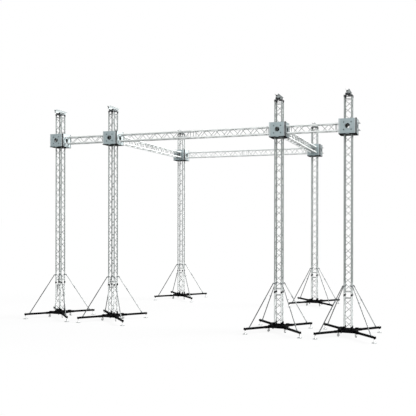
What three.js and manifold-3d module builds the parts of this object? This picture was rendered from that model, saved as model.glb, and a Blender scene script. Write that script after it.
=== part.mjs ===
// Stage roof system: six mast towers on outrigger bases carry a square roof of box truss with a
// wing at each side. The roof hangs on six sleeve blocks that ride up and down the masts.
// Millimetres, +Z up. The origin lies on the ground below the middle of the whole system.
// X runs along the front row of four towers, and the front faces -Y.

import * as THREE from 'three';
import { mergeVertices } from 'three/addons/utils/BufferGeometryUtils.js';
import Module from 'manifold-3d';

const wasm = await Module();
wasm.setup();

// Gap between two pieces that bear on each other, and the overrun of cuts and joins
const seatGap = 0.3;
const overrun = 4;
const flatTolerance = 0.01;

// Box truss, alike in the beams and the masts
const chordSpacing = 240;
const chordDiameter = 48;
const diagonalWidth = 16;
const diagonalDepth = 14;
const longestBay = 725;
const mastRungInset = 50;
const beamRungInset = 110;

// Roof plan
const beamSectionLength = 3000;
const wingSectionLength = 1800;

// Base of a tower
const outriggerReach = 1330;
const outriggerTube = 70;
const outriggerOverhang = 45;
const outriggerHeight = 180;
const baseFrameSide = 620;
const baseFrameBar = 60;
const jackFootSide = 150;
const jackFootThickness = 10;
const jackSpindleDiameter = 34;
const casterWheelDiameter = 96;
const casterWheelWidth = 30;
const casterForkWidth = 44;
const casterForkDepth = 56;
const casterGroundClearance = 8;
const casterTrail = 14;
const braceDiameter = 34;
const braceFootShare = 0.87;
const braceTopHeight = 1680;
const clampDepth = 60;
const clampWidth = 56;
const clampHeight = 80;

// Masts, with a hinge on each chord between the base mast and the mast
const hingeHeight = 1380;
const hingeKnuckleHeight = 120;
const hingeKnuckleWidth = 56;
const hingeKnuckleNeck = 40;

// Sleeve block
const blockReach = 300;
const blockHeight = 7036;
const mastAboveBlock = 1044;
const plateWidth = 490;
const plateHeight = 496;
const plateDepth = 30;
const tubeWall = 8;
const plateHoleDiameter = 165;
const footFrameHeight = 16;
const footFrameBar = 46;
const guideRollerDiameter = 50;
const guideRollerInset = 36;
const couplerLength = 84;
const couplerBaseDiameter = 50;
const couplerTipDiameter = 26;

// Mast top and its roller beam
const topPlateSide = 300;
const topPlateThickness = 12;
const topPlateBar = 64;
const rollerBeamLength = 720;
const rollerBeamHeight = 158;
const rollerBeamWall = 7;
const rollerBeamTipWidth = 132;
const rollerBeamNeckHeight = 100;
const rollerBeamRise = 28;
const rollerBeamStrapHeight = 38;
const hatHeight = 68;
const hatFootWidth = 200;
const hatDeckWidth = 150;
const sheaveDiameter = 80;
const sheaveWidth = 44;
const sheaveGroove = 12;
const sheaveClearance = 10;
const sheaveEndInset = 50;
const sheaveHeight = 82;
const axleDiameter = 20;
const axleLength = 86;
const axleCollarDiameter = 32;

// Facet counts
const tubeSides = 6;
const sheaveSides = 8;
const wheelSides = 8;
const holeSides = 10;
const faces = 4;
const octant = Math.PI / 4;
const quarterTurn = Math.PI / 2;

// Worked-out sizes
const chordRadius = chordDiameter / 2;
const chordPlace = chordSpacing / 2;
const chordFlatHalf = chordRadius * Math.tan(octant / 2);
const chordDiagonal = chordPlace * Math.SQRT2;
const trussHalf = chordPlace + chordRadius;
const mainSpan = 2 * (blockReach + beamSectionLength) + 3 * seatGap;
const wingSpan = 2 * (blockReach + seatGap) + wingSectionLength;
const outriggerTop = outriggerHeight + outriggerTube / 2;
const outriggerUnderside = outriggerHeight - outriggerTube / 2;
const baseMastBottom = outriggerTop + seatGap;
const baseMastTop = hingeHeight - hingeKnuckleHeight / 2;
const mastBottom = hingeHeight + hingeKnuckleHeight / 2 + seatGap;
const mastTop = blockHeight + mastAboveBlock + seatGap;
const mastLength = mastTop - mastBottom;
const topPlateBottom = mastTop + seatGap;
const rollerBeamBottom = topPlateBottom + topPlateThickness + seatGap;
const rollerBeamInside = sheaveWidth + 2 * seatGap;
const sheavePlace = rollerBeamLength / 2 - sheaveEndInset;

// Materials
const aluminium = new THREE.MeshStandardMaterial({ color: 0xa3aaa6, roughness: 0.42, metalness: 0.85 });
const blockSteel = new THREE.MeshStandardMaterial({ color: 0x9caaae, roughness: 0.45, metalness: 0.6 });
const blackSteel = new THREE.MeshStandardMaterial({ color: 0x1b1c1e, roughness: 0.55, metalness: 0.4 });
const darkSteel = new THREE.MeshStandardMaterial({ color: 0x4a4e50, roughness: 0.45, metalness: 0.7 });
const sheaveSteel = new THREE.MeshStandardMaterial({ color: 0x2b2d2f, roughness: 0.4, metalness: 0.7 });

// A closed geometry as a solid that can be joined and cut
function solidOf(geometry) {
  geometry.deleteAttribute('normal');
  geometry.deleteAttribute('uv');
  const merged = mergeVertices(geometry);
  return new wasm.Manifold(new wasm.Mesh({
    numProp: 3,
    vertProperties: new Float32Array(merged.attributes.position.array),
    triVerts: new Uint32Array(merged.index.array),
  }));
}

// A solid back as a geometry, with faces that lie in one plane merged
function geometryOf(solid) {
  const mesh = solid.asOriginal().simplify(flatTolerance).getMesh();
  const geometry = new THREE.BufferGeometry();
  geometry.setAttribute('position', new THREE.BufferAttribute(mesh.vertProperties, 3));
  geometry.setIndex(new THREE.BufferAttribute(mesh.triVerts, 1));
  return geometry;
}

function box(width, depth, height, x, y, z) {
  return solidOf(new THREE.BoxGeometry(width, depth, height).translate(x, y, z));
}

// An outline of [x, y] points drawn up along Z from a height, with holes if it has any
function prism(points, bottom, height, holes = []) {
  const shape = new THREE.Shape(points.map(([x, y]) => new THREE.Vector2(x, y)));
  shape.holes = holes.map((hole) => new THREE.Path(hole.map(([x, y]) => new THREE.Vector2(x, y))));
  const geometry = new THREE.ExtrudeGeometry(shape, { depth: height, bevelEnabled: false });
  return solidOf(geometry.translate(0, 0, bottom));
}

function square(side) {
  const half = side / 2;
  return [[-half, -half], [half, -half], [half, half], [-half, half]];
}

// A round bar or a tapered one from one point to another
function rod(from, to, diameter, sides, endDiameter = diameter) {
  const length = from.distanceTo(to);
  const geometry = new THREE.CylinderGeometry(endDiameter / 2, diameter / 2, length, sides);
  const direction = to.clone().sub(from).normalize();
  geometry.applyQuaternion(new THREE.Quaternion().setFromUnitVectors(new THREE.Vector3(0, 1, 0), direction));
  const middle = from.clone().add(to).multiplyScalar(1 / 2);
  return solidOf(geometry.translate(middle.x, middle.y, middle.z));
}

// The diameter of a many-sided bar whose flats lie on a circle of the given diameter
function acrossCorners(diameter, sides) {
  return diameter / Math.cos(Math.PI / sides);
}

function joined(solids) {
  return solids.reduce((sum, solid) => sum.add(solid));
}

// The four copies of a solid round the Z axis
function aroundZ(solid) {
  return Array.from({ length: faces }, (unused, k) => solid.rotate([0, 0, (360 / faces) * k]));
}

// Collects flat faces into one closed geometry, each turned to face away from the solid
class Skin {
  constructor() {
    this.places = [];
  }

  add(corners, outward) {
    const [a, b, c] = corners;
    const normal = b.clone().sub(a).cross(c.clone().sub(a));
    const ordered = normal.dot(outward) < 0 ? [...corners].reverse() : corners;
    for (let k = 1; k + 1 < ordered.length; k++) {
      [ordered[0], ordered[k], ordered[k + 1]].forEach((corner) => this.places.push(...corner.toArray()));
    }
  }

  geometry() {
    const geometry = new THREE.BufferGeometry();
    geometry.setAttribute('position', new THREE.Float32BufferAttribute(this.places, 3));
    return mergeVertices(geometry);
  }
}

// The chord's section in its own corner of the truss, u and v pointing out of the truss. It is an
// octagon, but the two flats that take the diagonals run on to meet in a square inner corner.
function chordOutline() {
  const inner = new THREE.Vector2(-chordRadius, -chordRadius);
  const outlineCorners = 6;
  const start = -1.5 * octant;
  const outer = Array.from({ length: outlineCorners }, (unused, k) => {
    const angle = start + octant * k;
    const radius = acrossCorners(chordRadius, 2 * faces);
    return new THREE.Vector2(radius * Math.cos(angle), radius * Math.sin(angle));
  });
  return [inner, ...outer];
}

// The nodes of a face's zigzag, bottom to top: the height of each and the chord that it lies on,
// -1 or 1. Rungs at the ends are legs of the same zigzag that run square across.
function zigzagNodes(length, rungInset, rungAtStart, rungAtEnd) {
  const bays = Math.ceil((length - 2 * rungInset) / longestBay);
  const step = (length - 2 * rungInset) / bays;
  const nodes = [];
  let side = -1;
  const place = (z) => {
    nodes.push({ z, side });
    side = -side;
  };
  if (rungAtStart) place(rungInset);
  for (let k = 0; k <= bays; k++) place(rungInset + step * k);
  if (rungAtEnd) place(length - rungInset);
  return nodes;
}

// Where the edges of the zigzag's bars meet the chords. Each bar has a three-sided section, flat on
// the outside of the truss. At a node two bars share one foot on the chord and meet in a crotch.
function zigzagCorners(nodes) {
  const clear = chordSpacing - chordDiameter;
  const bars = nodes.slice(1).map((node, k) => {
    const rise = node.z - nodes[k].z;
    return { slope: rise / clear, foot: (diagonalWidth / 2) * Math.hypot(rise, clear) / clear };
  });
  const outerX = chordPlace + diagonalDepth / 2;
  const innerX = chordPlace - diagonalDepth / 2;
  return nodes.map((node, k) => {
    const before = bars[k - 1];
    const after = bars[k];
    const flat = node.side * clear / 2;
    const low = new THREE.Vector3(outerX, flat, node.z - (before ?? after).foot);
    const high = new THREE.Vector3(outerX, flat, node.z + (after ?? before).foot);
    const inner = new THREE.Vector3(innerX, flat, node.z);
    const corners = { low, high, inner, lowEnd: low, highEnd: high };
    if (before && after) {
      const reach = (before.foot + after.foot) / (before.slope + after.slope);
      const height = node.z + after.slope * reach - after.foot;
      const crotch = new THREE.Vector3(outerX, flat - node.side * reach, height);
      corners.crotch = crotch;
      corners.lowEnd = crotch;
      corners.highEnd = crotch;
    }
    return corners;
  });
}

// The bars of one face of the truss
function addZigzag(skin, corners, turned) {
  const outward = new THREE.Vector3(1, 0, 0);
  corners.forEach((corner) => {
    if (corner.crotch) skin.add([corner.low, corner.high, corner.crotch].map(turned), turned(outward));
  });
  for (let k = 0; k + 1 < corners.length; k++) {
    const from = corners[k];
    const to = corners[k + 1];
    const lowEdge = [from.lowEnd, to.low];
    const highEdge = [from.high, to.highEnd];
    const across = highEdge[0].clone().sub(lowEdge[0]).add(highEdge[1]).sub(lowEdge[1]);
    skin.add([...lowEdge, highEdge[1], highEdge[0]].map(turned), turned(outward));
    skin.add([...lowEdge, to.inner, from.inner].map(turned), turned(across.clone().negate()));
    skin.add([...highEdge, to.inner, from.inner].map(turned), turned(across));
  }
}

// The chord flat that takes the feet of one face's bars, open where they stand on it
function addLandingFlat(skin, length, side, corners, turned) {
  const flat = side * (chordPlace - chordRadius);
  const inner = chordPlace - chordRadius;
  const outer = chordPlace + chordFlatHalf;
  const contour = [[inner, 0], [outer, 0], [outer, length], [inner, length]];
  const feet = corners.filter((corner) => Math.sign(corner.inner.y) === side);
  const flatten = (point) => new THREE.Vector2(point.x, point.z);
  const outline = contour.map(([x, z]) => new THREE.Vector2(x, z));
  const holes = feet.map((corner) => [corner.low, corner.high, corner.inner].map(flatten));
  const points = [...outline, ...holes.flat()];
  const outward = turned(new THREE.Vector3(0, -side, 0));
  THREE.ShapeUtils.triangulateShape(outline, holes).forEach((triangle) => {
    const corners3 = triangle.map((index) => new THREE.Vector3(points[index].x, flat, points[index].y));
    skin.add(corners3.map(turned), outward);
  });
}

// One chord's other sides and its two ends
function addChordSides(skin, length, turned) {
  const outline = chordOutline();
  const at = (point, z) => turned(new THREE.Vector3(chordPlace + point.x, chordPlace + point.y, z));
  const middle = turned(new THREE.Vector3(chordPlace, chordPlace, 0));
  for (let k = 1; k + 1 < outline.length; k++) {
    const side = [at(outline[k], 0), at(outline[k + 1], 0), at(outline[k + 1], length), at(outline[k], length)];
    const outward = side[0].clone().add(side[1]).multiplyScalar(1 / 2).sub(middle);
    skin.add(side, outward);
  }
  const up = new THREE.Vector3(0, 0, 1);
  skin.add(outline.map((point) => at(point, length)), up);
  skin.add(outline.map((point) => at(point, 0)), up.clone().negate());
}

// A box truss from 0 up to its length: four chords and a zigzag of bars in each face. Opposite
// zigzags mirror each other, so that seen through the truss they cross.
function boxTruss(length, rungInset, rungAtStart, rungAtEnd) {
  const skin = new Skin();
  const corners = zigzagCorners(zigzagNodes(length, rungInset, rungAtStart, rungAtEnd));
  for (let face = 0; face < faces; face++) {
    const turned = (point) => point.clone().applyAxisAngle(new THREE.Vector3(0, 0, 1), quarterTurn * face);
    addZigzag(skin, corners, turned);
    [-1, 1].forEach((side) => addLandingFlat(skin, length, side, corners, turned));
    addChordSides(skin, length, turned);
  }
  return skin.geometry();
}

// Base: a square frame on two crossed outrigger tubes, a screw jack below each tip, a swivel caster
// below each corner and a brace from each outrigger up to the mast's chord above it
function baseFrame() {
  const frame = prism(baseOutline(), outriggerUnderside, outriggerTube, baseOpenings());
  const corners = [jack(), caster(), brace()].flatMap((solid) => aroundZ(solid.rotate([0, 0, 45])));
  return geometryOf(joined([frame, ...corners]));
}

// The four copies of a list of outline points round the middle, one after the other
function quarters(points) {
  return Array.from({ length: faces }, (unused, k) => points.map(([x, y]) => {
    const point = new THREE.Vector2(x, y).rotateAround(new THREE.Vector2(), quarterTurn * k);
    return [point.x, point.y];
  }));
}

// The outline of the base from above: an outrigger runs out of each corner of the square frame
function baseOutline() {
  const side = baseFrameSide / 2;
  const shoulder = side - outriggerTube / Math.SQRT2;
  const tip = (outriggerReach + outriggerOverhang) / Math.SQRT2;
  const spread = outriggerTube / 2 / Math.SQRT2;
  const corner = [[side, shoulder], [tip + spread, tip - spread], [tip - spread, tip + spread], [shoulder, side]];
  return quarters(corner).flat();
}

// The triangular openings between the frame and the crossed tubes
function baseOpenings() {
  const crotch = outriggerTube / Math.SQRT2;
  const bar = baseFrameSide / 2 - baseFrameBar;
  return quarters([[crotch, 0], [bar, bar - crotch], [bar, crotch - bar]]);
}

// The jack at the tip of the outrigger that runs along +X
function jack() {
  const foot = prism(square(jackFootSide), 0, jackFootThickness).rotate([0, 0, 45]);
  const spindle = rod(
    new THREE.Vector3(0, 0, jackFootThickness / 2),
    new THREE.Vector3(0, 0, outriggerHeight),
    jackSpindleDiameter,
    tubeSides,
  );
  return foot.add(spindle).translate([outriggerReach, 0, 0]);
}

// The caster below the frame's corner on +X: a fork and a wheel that trails behind it
function caster() {
  const axle = casterGroundClearance + casterWheelDiameter / 2;
  const wheel = rod(
    new THREE.Vector3(casterTrail, -casterWheelWidth / 2, axle),
    new THREE.Vector3(casterTrail, casterWheelWidth / 2, axle),
    casterWheelDiameter,
    wheelSides,
  );
  const forkHeight = outriggerHeight - axle;
  const fork = box(casterForkDepth, casterForkWidth, forkHeight, 0, 0, axle + forkHeight / 2);
  const corner = (baseFrameSide / 2 - baseFrameBar / 2) * Math.SQRT2;
  return fork.add(wheel).translate([corner, 0, 0]);
}

// The brace from the outrigger along +X up to a clamp that bears on the mast's chord
function brace() {
  const clampInner = chordDiagonal + chordRadius + seatGap;
  const clamp = box(clampDepth, clampWidth, clampHeight, clampInner + clampDepth / 2, 0, braceTopHeight);
  const tube = rod(
    new THREE.Vector3(outriggerReach * braceFootShare, 0, outriggerHeight),
    new THREE.Vector3(clampInner + clampDepth / 2, 0, braceTopHeight),
    braceDiameter,
    tubeSides,
  );
  return tube.add(clamp);
}

// Base mast: a short truss whose chords end in the forks of the mast's hinge
function baseMast() {
  const length = baseMastTop - baseMastBottom;
  const neck = hingeKnuckleNeck / 2;
  const waist = hingeKnuckleWidth / 2;
  const outline = [
    [-neck, -overrun], [neck, -overrun], [waist, hingeKnuckleHeight / 2],
    [neck, hingeKnuckleHeight], [-neck, hingeKnuckleHeight], [-waist, hingeKnuckleHeight / 2],
  ];
  const knuckle = prism(outline, -hingeKnuckleNeck / 2, hingeKnuckleNeck)
    .rotate([90, 0, 0])
    .translate([chordPlace, chordPlace, length]);
  const truss = solidOf(boxTruss(length, mastRungInset, false, true));
  return geometryOf(joined([truss, ...aroundZ(knuckle)]));
}

// Sleeve block, about its own middle: an inner tube, a plate with a round hole on each side, a foot
// frame below and guide rollers that run on the mast's chords. A free side carries couplers.
function sleeveBlock(freeSide) {
  const tubeSide = 2 * (blockReach - plateDepth);
  const bore = square(tubeSide - 2 * tubeWall);
  const tube = prism(square(tubeSide), -plateHeight / 2, plateHeight, [bore]);
  const footFrame = prism(
    square(2 * blockReach - tubeWall),
    -plateHeight / 2 - footFrameHeight,
    footFrameHeight + tubeWall,
    [square(2 * blockReach - 2 * footFrameBar - tubeWall)],
  );
  const plate = box(plateDepth + tubeWall / 2, plateWidth, plateHeight,
    blockReach - (plateDepth + tubeWall / 2) / 2, 0, 0);
  const shell = joined([tube, footFrame, ...aroundZ(plate)]);
  const hole = rod(
    new THREE.Vector3(tubeSide / 2 - tubeWall - overrun, 0, 0),
    new THREE.Vector3(blockReach + overrun, 0, 0),
    plateHoleDiameter,
    holeSides,
  );
  const open = aroundZ(hole).reduce((rest, cut) => rest.subtract(cut), shell);
  return geometryOf(joined([open, ...guideRollers(), ...couplers(freeSide)]));
}

// A roller along each side of the mast: high up at the left and right, low down at the front and back
function guideRollers() {
  const flat = trussHalf + seatGap + guideRollerDiameter / 2;
  const reach = blockReach - plateDepth - tubeWall / 2;
  const across = acrossCorners(guideRollerDiameter, tubeSides);
  const level = plateHeight / 2 - guideRollerInset;
  const roller = rod(
    new THREE.Vector3(flat, -reach, 0),
    new THREE.Vector3(flat, reach, 0),
    across,
    tubeSides,
  );
  return aroundZ(roller).map((solid, side) => solid.translate([0, 0, side % 2 ? -level : level]));
}

// Cone couplers at the chord places of a side that no beam is fixed to
function couplers(freeSide) {
  if (!freeSide) return [];
  return [-chordPlace, chordPlace].flatMap((y) => [-chordPlace, chordPlace].map((z) => rod(
    new THREE.Vector3(freeSide * (blockReach - plateDepth / 2), y, z),
    new THREE.Vector3(freeSide * (blockReach + couplerLength), y, z),
    couplerBaseDiameter,
    tubeSides,
    couplerTipDiameter,
  )));
}

// Plate frame on the mast's chords
function topPlate() {
  const opening = square(topPlateSide - 2 * topPlateBar);
  return geometryOf(prism(square(topPlateSide), 0, topPlateThickness, [opening]));
}

// Roller beam along Y: a channel with flared lips and a strap across each end, on a hat-shaped foot over
// the top plate, and an axle with two collars for each sheave. The floor leaves the sheaves free below.
function rollerBeam() {
  const wall = rollerBeamWall;
  const neck = rollerBeamInside / 2;
  const mirrored = (points) => points.map(([x, z]) => [-x, z]).reverse();
  const alongY = (outline, length) => prism(outline, -length / 2, length).rotate([90, 0, 0]);
  const inner = [
    [neck, rollerBeamRise],
    [neck, rollerBeamNeckHeight],
    [rollerBeamTipWidth / 2 - wall, rollerBeamHeight],
  ];
  const right = [...inner.map(([x, z]) => [x + wall, z]).reverse(), ...inner];
  const sides = [right, mirrored(right)].map((outline) => alongY(outline, rollerBeamLength));
  const across = 2 * neck + wall;
  const floorLength = 2 * (sheavePlace - sheaveDiameter / 2 - sheaveClearance);
  const floor = box(across, floorLength, wall, 0, 0, rollerBeamRise + wall / 2);
  const strapPlace = (rollerBeamLength - wall) / 2;
  const straps = [-strapPlace, strapPlace].map((y) => (
    box(across, wall, rollerBeamStrapHeight, 0, y, rollerBeamRise + rollerBeamStrapHeight / 2)
  ));
  const hatOuter = [[hatFootWidth / 2, 0], [hatDeckWidth / 2, hatHeight]];
  const hatInner = [[hatDeckWidth / 2 - wall, hatHeight - wall], [hatFootWidth / 2 - wall, 0]];
  const hat = alongY([...hatOuter, ...mirrored(hatOuter), ...mirrored(hatInner), ...hatInner], topPlateSide);
  const end = axleLength / 2;
  const bars = [[-end, end, axleDiameter], [neck, end, axleCollarDiameter], [-end, -neck, axleCollarDiameter]];
  const axles = [-sheavePlace, sheavePlace].flatMap((y) => bars.map(([from, to, diameter]) => rod(
    new THREE.Vector3(from, y, sheaveHeight),
    new THREE.Vector3(to, y, sheaveHeight),
    diameter,
    tubeSides,
  )));
  return geometryOf(joined([...sides, floor, ...straps, hat, ...axles]));
}

// Grooved sheave about the X axis, its bore clear of the axle's corners
function sheave() {
  const bore = (axleDiameter / 2 + seatGap) / Math.cos(Math.PI / sheaveSides);
  const radius = sheaveDiameter / 2;
  const half = sheaveWidth / 2;
  const profile = [
    [bore, -half], [radius, -half], [radius - sheaveGroove, 0], [radius, half], [bore, half], [bore, -half],
  ].map(([x, y]) => new THREE.Vector2(x, y));
  const geometry = new THREE.LatheGeometry(profile, sheaveSides).rotateZ(-quarterTurn);
  return geometryOf(solidOf(geometry));
}

const system = new THREE.Group();

function place(name, geometry, material, position) {
  const mesh = new THREE.Mesh(geometry, material);
  mesh.name = name;
  mesh.position.copy(position);
  system.add(mesh);
  return mesh;
}

// Towers, by their place in the plan and the side, if any, on which a further wing could be fixed
const frontRow = -mainSpan / 2;
const backRow = mainSpan / 2;
const mainEdge = mainSpan / 2;
const wingEdge = mainSpan / 2 + wingSpan;
const towers = [
  { place: 'front_left_wing', x: -wingEdge, y: frontRow, freeSide: -1 },
  { place: 'front_left', x: -mainEdge, y: frontRow, freeSide: 0 },
  { place: 'front_right', x: mainEdge, y: frontRow, freeSide: 0 },
  { place: 'front_right_wing', x: wingEdge, y: frontRow, freeSide: 1 },
  { place: 'back_left', x: -mainEdge, y: backRow, freeSide: -1 },
  { place: 'back_right', x: mainEdge, y: backRow, freeSide: 1 },
];

const baseGeometry = baseFrame();
const baseMastGeometry = baseMast();
const mastGeometry = boxTruss(mastLength, mastRungInset, true, false);
const topPlateGeometry = topPlate();
const rollerBeamGeometry = rollerBeam();
const sheaveGeometry = sheave();

towers.forEach(({ place: where, x, y, freeSide }) => {
  const at = (z, alongY = 0) => new THREE.Vector3(x, y + alongY, z);
  const sheaveZ = rollerBeamBottom + sheaveHeight;
  place(`base_${where}`, baseGeometry, blackSteel, at(0));
  place(`base_mast_${where}`, baseMastGeometry, aluminium, at(baseMastBottom));
  place(`mast_${where}`, mastGeometry, aluminium, at(mastBottom));
  place(`sleeve_block_${where}`, sleeveBlock(freeSide), blockSteel, at(blockHeight));
  place(`mast_top_plate_${where}`, topPlateGeometry, darkSteel, at(topPlateBottom));
  place(`roller_beam_${where}`, rollerBeamGeometry, blockSteel, at(rollerBeamBottom));
  place(`sheave_front_${where}`, sheaveGeometry, sheaveSteel, at(sheaveZ, -sheavePlace));
  place(`sheave_back_${where}`, sheaveGeometry, sheaveSteel, at(sheaveZ, sheavePlace));
});

// Beams, as sections that run from block to block. A main beam is two sections end to end.
const sectionGeometry = boxTruss(beamSectionLength, beamRungInset, false, false);
const wingGeometry = boxTruss(wingSectionLength, beamRungInset, false, false);
const firstSection = -mainSpan / 2 + blockReach + seatGap;
const secondSection = firstSection + beamSectionLength + seatGap;

function placeBeamAlongX(name, geometry, x, y) {
  place(name, geometry, aluminium, new THREE.Vector3(x, y, blockHeight)).rotation.y = quarterTurn;
}

function placeBeamAlongY(name, geometry, x, y) {
  place(name, geometry, aluminium, new THREE.Vector3(x, y, blockHeight)).rotation.x = -quarterTurn;
}

[['front', frontRow], ['back', backRow]].forEach(([where, y]) => {
  placeBeamAlongX(`beam_${where}_left_half`, sectionGeometry, firstSection, y);
  placeBeamAlongX(`beam_${where}_right_half`, sectionGeometry, secondSection, y);
});
[['left', -mainEdge], ['right', mainEdge]].forEach(([where, x]) => {
  placeBeamAlongY(`beam_${where}_front_half`, sectionGeometry, x, firstSection);
  placeBeamAlongY(`beam_${where}_back_half`, sectionGeometry, x, secondSection);
});
placeBeamAlongX('beam_left_wing', wingGeometry, -wingEdge + blockReach + seatGap, frontRow);
placeBeamAlongX('beam_right_wing', wingGeometry, mainEdge + blockReach + seatGap, frontRow);

export default system;
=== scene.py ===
"""The looks of a stage roof truss system: six mast towers, and a roof of box truss on sleeve blocks."""
import math

import bmesh
import bpy
from mathutils import Matrix, Vector


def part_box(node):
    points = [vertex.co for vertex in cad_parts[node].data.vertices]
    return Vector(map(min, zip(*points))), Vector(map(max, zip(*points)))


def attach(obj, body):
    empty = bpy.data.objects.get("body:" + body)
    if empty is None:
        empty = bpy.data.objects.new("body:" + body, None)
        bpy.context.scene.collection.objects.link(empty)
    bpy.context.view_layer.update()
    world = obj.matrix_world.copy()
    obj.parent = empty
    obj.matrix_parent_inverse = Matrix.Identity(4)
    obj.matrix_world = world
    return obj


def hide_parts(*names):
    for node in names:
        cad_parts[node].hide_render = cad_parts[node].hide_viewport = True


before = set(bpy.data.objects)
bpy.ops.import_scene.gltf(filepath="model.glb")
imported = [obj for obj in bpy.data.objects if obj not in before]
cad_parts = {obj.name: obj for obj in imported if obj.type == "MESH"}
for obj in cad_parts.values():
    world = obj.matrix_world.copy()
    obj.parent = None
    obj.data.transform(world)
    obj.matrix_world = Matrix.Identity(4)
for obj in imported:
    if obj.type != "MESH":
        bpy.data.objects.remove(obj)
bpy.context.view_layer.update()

# Directions
X = Vector((1, 0, 0))
Y = Vector((0, 1, 0))
Z = Vector((0, 0, 1))
OUT = (X + Y).normalized()
ACROSS = (Y - X).normalized()
QUARTERS = [Matrix.Rotation(math.pi / 2 * k, 4, "Z") for k in range(4)]
SIDES = (-1, 1)
CORNERS = ((1, 1), (-1, 1), (-1, -1), (1, -1))
HEX, HOLE_SIDES = 6, 48
# room left between a chord and what slides on it or holds it
PLAY = 0.0006

# Box truss
CHORD_PLACE = 0.12
CHORD_AXIS = Vector((CHORD_PLACE, CHORD_PLACE, 0))
CHORD_PLACES = [(a, b) for a in (-CHORD_PLACE, CHORD_PLACE) for b in (-CHORD_PLACE, CHORD_PLACE)]
CHORD_RADIUS = 0.024
BRACE_RADIUS = 0.008
RUNG_RADIUS = 0.010
RUNG_INSET = 0.11
RUNG_CLEARANCE = 0.012
ZIGZAG_INSET = RUNG_INSET + RUNG_RADIUS + RUNG_CLEARANCE
ZIGZAG_STEP = 0.25
ZIGZAG_GAP = 0.022
WELD_WIDTH = 0.005
WELD_LENGTH = 0.009
WELD_SINK = 0.003
COUPLER_LENGTH = 0.062
COUPLER_PROUD = 0.0016
PIN_INSET = 0.034
PIN_RADIUS = 0.0065
PIN_PROUD = 0.006
MAST_RUNG_INSET = 0.05
BASE_ZIGZAG_INSET = 0.03

# Base
TUBE = 0.07
TUBE_HEIGHT = 0.18
TUBE_LOW = TUBE_HEIGHT - TUBE / 2
TUBE_HIGH = TUBE_HEIGHT + TUBE / 2
TUBE_CORNER = 0.006
FRAME_HALF = 0.31
FRAME_BAR = 0.06
ARM_ENDS = (0.005, 0.43)
SLEEVE_ENDS = (0.40, 0.56)
SLEEVE_WALL = 0.006
CORNER_BLOCK = 0.11
CORNER_RISE = 0.03
REACH = 1.33
OUTRIGGER_ENDS = (0.45, 1.372)
END_CAP = 0.003
FOOT_HALF = 0.075
CASTER_RADIUS = 0.048
CASTER_CLEARANCE = 0.008
CASTER_PLACE = 0.396
CASTER_TRAIL = 0.014
SOCKET_TOP = 0.335
BRACE_FOOT = 1.157
BRACE_FOOT_RISE = 0.022
BRACE_JOINT_SHARE = 0.66
LOWER_BRACE_RADIUS = 0.017
UPPER_BRACE_RADIUS = 0.015
CLAMP_HEIGHT = 1.68
CLAMP_REACH = 0.232

# Hinge between the base mast and the mast
KNUCKLE_HEIGHT = 0.12
KNUCKLE_RADIUS = 0.024
KNUCKLE_LEG = 0.050
SLEEVE_LENGTH = 0.028

# Sleeve block, about its own middle
BLOCK_REACH = 0.30
PLATE_REACH = 0.260
PLATE_RISE = 0.248
LIP = 0.028
SHEET = 0.006
CORE_HALF = 0.255
CORE_WALL = 0.008
HOLE_RADIUS = 0.0825
HOLE_RING = 0.033
SIDE_HOLE_RADIUS = 0.045
FOOT_DROP = 0.016
FOOT_OPENING = 0.168
EDGE_BAR = ((0.258, 0.237), (0.299, 0.272))
EDGE_BOLTS = (-0.2, -0.07, 0.07, 0.2)
BAR_CAP = 0.022
BAR_UPSTAND = 0.012
ROLLER_RADIUS = 0.025
ROLLER_WIDTH = 0.056
ROLLER_INSETS = (0.006, 0.036)
ROLLER_AXLE = (0.236, 0.008)
CONE_LENGTH = 0.083

# Roller beam, above the mast's top plate
BEAM_REACH = 0.36
BEAM_INSIDE = 0.0225
BEAM_WALL = 0.006
BEAM_RISE = 0.028
BEAM_NECK = 0.100
BEAM_TIP = 0.066
BEAM_HEIGHT = 0.158
RIB_PLACES = (-0.2, -0.07, 0.07, 0.2)
RIB_FOOT = 0.06
STRAP_HEIGHT = 0.038
STRAP_WALL = 0.005
HAT_HEIGHT = 0.068
HAT_FOOT = 0.100
HAT_DECK = 0.075
HAT_REACH = 0.15
HAT_WALL = 0.007
GUSSET_PLACES = (-0.06, 0.06)
RAIL_BOLTS = (-0.12, -0.04, 0.04, 0.12)
CRADLE_WIDTH = 0.028
CRADLE_WALL = 0.014
# the black liners of painted shade inside the channel
LINER_RISE = 0.050
LINER_REACH = (0.15, 0.358)
SHEAVE_PLACE = 0.31
SHEAVE_RISE = 0.082
SHEAVE_RADIUS = 0.04
SHEAVE_ROOM = 0.01
AXLE = (0.043, 0.0098)
TOP_FRAME = (0.15, 0.086)


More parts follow.
